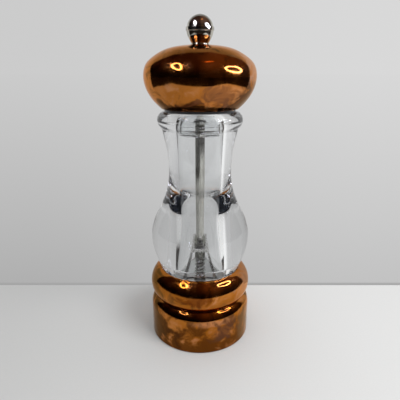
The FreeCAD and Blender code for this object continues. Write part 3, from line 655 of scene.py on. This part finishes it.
def clear_body():
    """Rim bead, waisted neck and belly round a straight bore."""
    rim = high("acrylic_body")
    foot = low("acrylic_body")
    mouth = foot + BODY_FOOT_DEPTH
    belly = mouth + BELLY_UP
    waist = rim - WAIST_DOWN
    relief_top = foot + BODY_RELIEF_HEIGHT
    rounded = arc((RIM_BEAD_MIDDLE, rim - RIM_BEAD), RIM_BEAD, 90, -57, 36)
    side = spline([(20.4, rim - NOTCH_DOWN), (17.9, waist + 11.5), (17.15, waist),
                   (19.05, waist - 12.6), (23.5, belly + 14.3), (26.7, belly + 6.6),
                   (27.7, belly), (26.4, belly - 9.7), (22.85, mouth)], 120)
    outline = closed((BODY_BORE, rim, 0.35), rounded, (*side[0], 0.12), side[1:],
                     (BODY_FOOT, mouth, 0.1), (BODY_FOOT, foot, 0.2), (BODY_RELIEF, foot, 0.2),
                     (BODY_RELIEF, relief_top, 0.25), (BODY_BORE, relief_top, 0.25))
    return turned("clear_body", outline, sharp_deg=40)


piece(clear_body(), "mill_body", "acrylic_body", "acrylic")


# ---------------------------------------------------------------- base

def slope(height, centre, radius):
    """Where on a circle a height lies, in degrees above its middle."""
    return math.degrees(math.asin((height - centre[1]) / radius))


def collar():
    """Spun ring; its inside stops a few degrees short of both edges."""
    centre = (reach("base_collar") - COLLAR_BULGE, COLLAR_LEVEL)
    bottom = slope(low("base_collar"), centre, COLLAR_BULGE)
    top = slope(high("base_collar"), centre, COLLAR_BULGE)
    outer = arc(centre, COLLAR_BULGE, bottom, top, 60)
    inner = arc(centre, COLLAR_BULGE - SHELL, top - 1.5, bottom + 4.5, 50)
    outline = closed((*outer[0], 0.2), outer[1:-1], (*outer[-1], 0.25), (*inner[0], 0.2),
                     inner[1:])
    return turned("base_collar_spun", outline, sharp_deg=50)


def skirt():
    """Spun drum with a round shoulder, open below."""
    widest = reach("base_skirt")
    centre = (widest - SKIRT_SHOULDER, SKIRT_WALL_TOP)
    foot = low("base_skirt")
    top = slope(high("base_skirt"), centre, SKIRT_SHOULDER)
    outer = arc(centre, SKIRT_SHOULDER, 0, top, 30)
    inner = arc(centre, SKIRT_SHOULDER - SHELL, top - 4, 0, 26)
    outline = closed((widest, foot, 0.35), outer[:-1], (*outer[-1], 0.2), (*inner[0], 0.1),
                     inner[1:], (widest - SHELL, foot, 0.2))
    return turned("base_skirt_spun", outline, sharp_deg=50)


piece(collar(), "mill_body", "base_collar", "base_copper")
piece(skirt(), "mill_body", "base_skirt", "base_copper")


# ---------------------------------------------------------------- shaft and spring

def shaft():
    """Square bar with worn corners; its round ends are cut with a real thread."""
    bottom = low("drive_shaft")
    top = high("drive_shaft")
    square_low = high("bridge_bush") + SQUARE_ABOVE_BUSH
    square_top = high("acrylic_body") + SQUARE_ABOVE_RIM
    half = SHAFT_SIDE / 2
    corner = half * math.sqrt(2) - SHAFT_EDGE
    count = 64                   # points round a section
    lengths = 24                 # sections along the square part
    crisp = 0.01                 # a step that stays sharp
    bevel = 0.5                  # length of the turned ends of the square part
    plain = 1.0                  # left without thread above the square part

    def section(height, radius_at):
        points = []
        for step in range(count):
            angle = 2 * math.pi * step / count + SHAFT_TURN
            points.append(round_point(radius_at(angle), angle, height))
        return points

    def disc(height, radius):
        return section(height, lambda angle: radius)

    def square_radius(angle):
        fold = (angle - SHAFT_TURN) % (math.pi / 2)
        fold = min(fold, math.pi / 2 - fold)
        return min(half / math.cos(fold), corner)

    def square_end(height):
        """The square where it meets a round end: its corners are turned off."""
        return section(height, lambda angle: min(square_radius(angle), SHAFT_SIDE / 2))

    def threaded(height, fade):
        def radius_at(angle):
            phase = (height / THREAD_PITCH - angle / (2 * math.pi)) % 1.0
            groove = max(0.0, 1 - abs(2 * phase - 1) * THREAD_FLANK)
            return SHAFT_ROUND - THREAD_DEPTH * fade * groove
        return section(height, radius_at)

    def thread(start, end):
        steps = int((end - start) / (THREAD_PITCH / THREAD_STEPS))
        rows = []
        for step in range(steps + 1):
            height = start + (end - start) * step / steps
            fade = min(1.0, (height - start) / THREAD_FADE, (end - height) / THREAD_FADE)
            rows.append(threaded(height, fade))
        return rows

    sections = [disc(bottom, SHAFT_ROUND - SHAFT_TIP)]
    sections += thread(bottom + SHAFT_TIP, bottom + THREAD_LOW)
    sections += [disc(square_low, SHAFT_ROUND), square_end(square_low + crisp),
                 section(square_low + bevel, square_radius)]
    for step in range(1, lengths):
        height = square_low + (square_top - square_low) * step / lengths
        sections.append(section(height, square_radius))
    sections += [section(square_top - bevel, square_radius), square_end(square_top - crisp),
                 disc(square_top, SHAFT_ROUND)]
    sections += thread(square_top + plain, top - SHAFT_TIP)
    sections.append(disc(top, SHAFT_ROUND - SHAFT_TIP))
    return skinned("square_shaft", sections, sharp_deg=28)


def coil():
    """Closed ends and five open turns of round wire."""
    z_low = low("spring_washer") + SPRING_WASHER + SPRING_WIRE
    z_high = low("bridge_bush") - SPRING_WIRE
    height = z_high - z_low
    turns = SPRING_OPEN_TURNS + 2 * SPRING_DEAD_TURNS
    close = 2 * SPRING_WIRE * 1.02           # rise of one closed turn
    span = height - 2 * close * SPRING_DEAD_TURNS
    per_turn = 36
    round_wire = 12
    count = int(turns * per_turn)
    sections = []
    for step in range(count + 1):
        t = turns * step / count
        if t < SPRING_DEAD_TURNS:
            rise = close * t
        elif t > turns - SPRING_DEAD_TURNS:
            rise = height - close * (turns - t)
        else:
            rise = close * SPRING_DEAD_TURNS + span * (t - SPRING_DEAD_TURNS) / SPRING_OPEN_TURNS
        ring = []
        for k in range(round_wire):
            turn = 2 * math.pi * k / round_wire
            ring.append(round_point(SPRING_MEAN + SPRING_WIRE * math.cos(turn), 2 * math.pi * t,
                                    z_low + rise + SPRING_WIRE * math.sin(turn)))
        sections.append(ring)
    return skinned("coil_spring", sections, sharp_deg=60)


piece(shaft(), "drive", "drive_shaft", "drawn_steel")
spring = coil()
dress(spring, "spring_wire")
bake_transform(spring)
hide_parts("spring")


# ---------------------------------------------------------------- CAD pieces that stay

KEPT = {
    "base_core": "white_plastic", "body_screws": "zinc", "burr_retainer": "zinc",
    "retainer_screws": "zinc", "burr_ring": "burr", "burr_cone": "burr", "burr_washer": "zinc",
    "burr_nut": "zinc", "bridge": "bridge_steel", "bridge_bush": "bush_steel",
    "bridge_screws": "zinc", "spring_washer": "zinc", "glide_ring": "nylon",
    "head_core": "beech", "head_screws": "zinc", "drive_plate": "bridge_steel",
    "knob_insert": "brass",
}
for node, finish in KEPT.items():
    dress(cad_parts[node], finish)


# ---------------------------------------------------------------- camera

scene = bpy.context.scene
scene.view_settings.view_transform = "Standard"
for setting, value in {"max_bounces": 24, "transmission_bounces": 24, "glossy_bounces": 10,
                       "diffuse_bounces": 3, "transparent_max_bounces": 24,
                       "sample_clamp_indirect": 6.0, "blur_glossy": 0.3}.items():
    setattr(scene.cycles, setting, value)

CAMERA_BACK = 0.215
CAMERA_UP = 0.1533
CAMERA_TILT = 71.5           # degrees from straight down

lens = bpy.data.cameras.new("camera")
lens.lens = 36
lens.sensor_width = 36
lens.clip_start = 0.01
camera = bpy.data.objects.new("camera", lens)
camera.location = (0, -CAMERA_BACK, CAMERA_UP)
camera.rotation_euler = (math.radians(CAMERA_TILT), 0, 0)
scene.collection.objects.link(camera)
scene.camera = camera


# ---------------------------------------------------------------- floor and backdrop

SEAM = 0.045                 # the backdrop stands this far behind the axis
FLOOR_NEAR = -6
FLOOR_FAR = 8
FLOOR_SIDE = 6
PAPER_FRONT = -0.28          # the lit paper on the floor
PAPER_BACK = 0.14
PAPER_SIDE = 0.39
PAPER_SOFT = 0.006
PAPER_SHADE_SPAN = (0.12, -0.16) # painted shade: the paper is darkened from here to there, rightmost first
PAPER_SHADE_DEPTH = 0.24            # and by this much
GLASS_SHADE = (-0.15, -0.27) # through the clear body the paper ends here on the left
GLASS_SPILL = (0.20, 0.25)   # and goes on from here on the right
WALL_SIDE = 0.15
WALL_SHOULDER = 0.165        # the backdrop is a tent: upright sides up to here
WALL_TOP = 0.285
WALL_FOOT = (0.02, 0.16)     # heights over which its foot gives way to its upper tones
WALL_DIM = (0.175, 0.235)    # and over which painted shade dims it again
WINDOW = (0.055, 0.10)       # through the clear body a painted window light brightens it from here to the right
WALL_LEFT = grey(0.60)       # tones of the backdrop, high up and at its foot, darker on the left: painted shade
WALL_RIGHT = grey(0.69)
FOOT_LEFT = grey(0.42)
FOOT_RIGHT = grey(0.53)
DIM_TONE = grey(0.27)
WINDOW_TONE = grey(0.9)
# painted shade: a dark line in the crease where the backdrop meets the floor
SEAM_SHADE = grey(0.36)
SEAM_SHADE_Y = (SEAM + 0.0015, SEAM + 0.0050)
SEAM_SHARP = 0.0006
FADE = (0.25, 0.80)          # distance from the axis over which the floor takes those tones
VIEW_EDGE = 0.447            # sideways part of a heading at the picture's edge
VIEW_SPREAD = 0.5            # sideways over forwards there
FOOT_FALL = 0.62             # downwards over forwards where the backdrop's foot is met
NO_LIGHT = grey(0.0)


def between(s, value, low_edge, high_edge, soft):
    """One inside two limits and nought outside, with soft edges."""
    up = s.fit(value, low_edge - soft, low_edge + soft)
    down = s.fit(value, high_edge + soft, high_edge - soft)
    return s.times(up, down)


def floor_material():
    """Pale paper in a dark room, with painted shade darkening it towards the left.

    Gloss meets the paper only in front of the backdrop. Light through the clear body meets
    less of it on the left and more on the right. Behind the seam the floor shows the
    backdrop's tones, and far off in other views it fades into them.
    """
    s = Surface("pale_paper")
    s.shader.inputs["Specular IOR Level"].default_value = 0.1
    x, y, _ = s.axes(s.place)
    rays = s.rays()
    seen = rays["Is Camera Ray"]
    through = rays["Is Transmission Ray"]

    deep = between(s, y, PAPER_FRONT, PAPER_BACK, PAPER_SOFT)
    paper = s.times(deep, between(s, x, -PAPER_SIDE, PAPER_SIDE, PAPER_SOFT))
    shaded = s.times(s.fit(x, *GLASS_SHADE), through)
    paper = s.maths("SUBTRACT", paper, shaded, clamp=True)
    widened = s.times(deep, s.times(s.fit(x, *GLASS_SPILL), through))
    paper = s.maths("MAXIMUM", paper, widened)
    paper = s.maths("MAXIMUM", paper, s.maths("MAXIMUM", seen, rays["Is Diffuse Ray"]))
    white = s.colours(s.noise(900, 4.0, 0.6), (0.78, 0.785, 0.78, 1), (0.83, 0.83, 0.825, 1))
    # painted shade: the paper darkens towards the left, as if lit from the right
    white = s.colours(s.fit(x, *PAPER_SHADE_SPAN, 0.0, PAPER_SHADE_DEPTH), white, NO_LIGHT)
    s.finish(s.colours(paper, (0.02, 0.014, 0.01, 1), white), 0.9)

    away = s.add(y, CAMERA_BACK)
    side = s.fit(s.maths("DIVIDE", x, away), -VIEW_SPREAD, VIEW_SPREAD)
    fall = s.maths("DIVIDE", CAMERA_UP, away)
    risen = s.maths("SUBTRACT", 1.0, s.maths("DIVIDE", fall, FOOT_FALL), clamp=True)
    tone = s.colours(risen, s.colours(side, FOOT_LEFT, FOOT_RIGHT),
                     s.colours(side, WALL_LEFT, WALL_RIGHT))
    # painted shade along the crease at the backdrop's foot
    tone = s.colours(s.fit(y, *SEAM_SHADE_Y, 0.9, 0.0), tone, SEAM_SHADE)
    distance = s.length(x, y)
    around = s.colours(s.fit(s.maths("DIVIDE", x, distance), -VIEW_EDGE, VIEW_EDGE),
                       WALL_LEFT, WALL_RIGHT)
    behind = s.fit(y, SEAM - SEAM_SHARP, SEAM + SEAM_SHARP)
    glow = s.node("Emission", Color=s.colours(behind, around, tone))
    beyond = s.maths("MAXIMUM", behind, s.fit(distance, *FADE))
    return s.show_mixed(s.times(beyond, seen), glow)


def wall_material():
    """A glowing backdrop with painted shade: darker at its foot, at its top and to its left,
    with a painted window light at its right seen through the clear body.
    """
    s = Surface("backdrop")
    x, _, z = s.axes(s.place)
    side = s.fit(x, -WALL_SIDE, WALL_SIDE)
    tone = s.colours(s.fit(z, *WALL_FOOT), s.colours(side, FOOT_LEFT, FOOT_RIGHT),
                     s.colours(side, WALL_LEFT, WALL_RIGHT))
    tone = s.colours(s.fit(z, *WALL_DIM), tone, DIM_TONE)
    window = s.times(s.fit(x, *WINDOW), s.rays()["Is Transmission Ray"])
    return s.show(s.node("Emission", Color=s.colours(window, tone, WINDOW_TONE)))


def lamp_material(name, colour, strength):
    s = Surface(name)
    return s.show(s.node("Emission", Color=colour, Strength=strength))


def stage(thing, material, plain=True):
    """A piece of the stage. One that isn't plain is met only in gloss and through glass."""
    thing.data.materials.append(material)
    thing.visible_camera = plain
    thing.visible_diffuse = plain
    thing.visible_shadow = plain


stage(mesh_object("floor", [(-FLOOR_SIDE, FLOOR_NEAR, 0), (FLOOR_SIDE, FLOOR_NEAR, 0),
                            (FLOOR_SIDE, FLOOR_FAR, 0), (-FLOOR_SIDE, FLOOR_FAR, 0)],
                  [[0, 1, 2, 3]]), floor_material())
stage(mesh_object("backdrop", [(-WALL_SIDE, SEAM, 0), (WALL_SIDE, SEAM, 0),
                               (WALL_SIDE, SEAM, WALL_SHOULDER), (0, SEAM, WALL_TOP),
                               (-WALL_SIDE, SEAM, WALL_SHOULDER)],
                  [[0, 1, 2, 3, 4]]), wall_material(), plain=False)


# ---------------------------------------------------------------- lamps and room

LAMPS_FACE = (0, 0, 0.11)
COOL = (1, 1, 1.2, 1)
WARM = (1, 0.35, 0.10, 1)
KEY_PLACE = (0.55, -0.45, 0.75)
KEY_FACES = (0, 0, 0.06)


def ring_lamp(name, place, wide, tall, lean_deg, tube, strength, colour):
    """A glowing oval ring that faces the mill."""
    middle = np.array(place)
    toward = np.array(LAMPS_FACE) - middle
    toward /= np.linalg.norm(toward)
    across = np.cross(toward, (0, 0, 1.0))
    across /= np.linalg.norm(across)
    up = np.cross(across, toward)
    lean = math.radians(lean_deg)
    short = across * math.cos(lean) + up * math.sin(lean)
    long = up * math.cos(lean) - across * math.sin(lean)
    vertices = []
    faces = []
    big = 48                     # points round the ring, and round its tube
    small = 10
    for i in range(big):
        a = 2 * math.pi * i / big
        out = math.cos(a) * short * wide + math.sin(a) * long * tall
        thick = out / np.linalg.norm(out)
        here = i * small
        there = (i + 1) % big * small
        for j in range(small):
            b = 2 * math.pi * j / small
            on = (j + 1) % small
            vertices.append(tuple(middle + out
                                  + tube * (thick * math.cos(b) + toward * math.sin(b))))
            faces.append([here + j, here + on, there + on, there + j])
    stage(mesh_object(name, vertices, faces), lamp_material(name, colour, strength), plain=False)


ring_lamp("ring_left", (-0.183, -0.142, 0.34), 0.043, 0.098, 36, 0.0052, 22, COOL)
ring_lamp("ring_right", (0.204, -0.072, 0.239), 0.070, 0.042, -32, 0.0050, 22, COOL)
ring_lamp("warm_glow", (0.10, -0.10, 0.62), 0.045, 0.014, 0, 0.013, 1.6, WARM)

key = bpy.data.lights.new("key", "AREA")
key.energy = 5.0
key.size = 0.5
key_place = bpy.data.objects.new("key", key)
key_place.location = KEY_PLACE
key_place.visible_glossy = False
key_place.visible_transmission = False
scene.collection.objects.link(key_place)
target = bpy.data.objects.new("key_target", None)
target.location = KEY_FACES
scene.collection.objects.link(target)
aim = key_place.constraints.new("TRACK_TO")
aim.target = target
aim.track_axis = "TRACK_NEGATIVE_Z"
aim.up_axis = "UP_Y"

# The room is dark in gloss, warmer to the right and higher up. It lights the mill softly, and
# the camera sees the backdrop's tones in its place.
world = bpy.data.worlds.new("studio")
scene.world = world
world.use_nodes = True
world.cycles.sampling_method = "NONE"
world.node_tree.nodes.clear()
room = Nodes(world.node_tree)
room_rays = room.rays()
sideways, _, upward = room.axes(room.node("TexCoord").outputs["Generated"])
right_half = room.fit(sideways, -0.10, 0.30)
room_low = room.colours(right_half, (0.004, 0.003, 0.003, 1), (0.030, 0.019, 0.010, 1))
room_high = room.colours(right_half, (0.045, 0.020, 0.014, 1), (0.150, 0.078, 0.050, 1))
room_tone = room.colours(room.fit(upward, 0.1, 0.95), room_low, room_high)
room_tone = room.colours(room_rays["Is Diffuse Ray"], room_tone, grey(0.62))
backdrop_tone = room.fit(sideways, -VIEW_EDGE, VIEW_EDGE, WALL_LEFT[0], WALL_RIGHT[0])
room_tone = room.colours(room_rays["Is Camera Ray"], room_tone, backdrop_tone)
background = room.node("Background", Color=room_tone)
room.feed(room.node("OutputWorld").inputs[0], background.outputs[0])
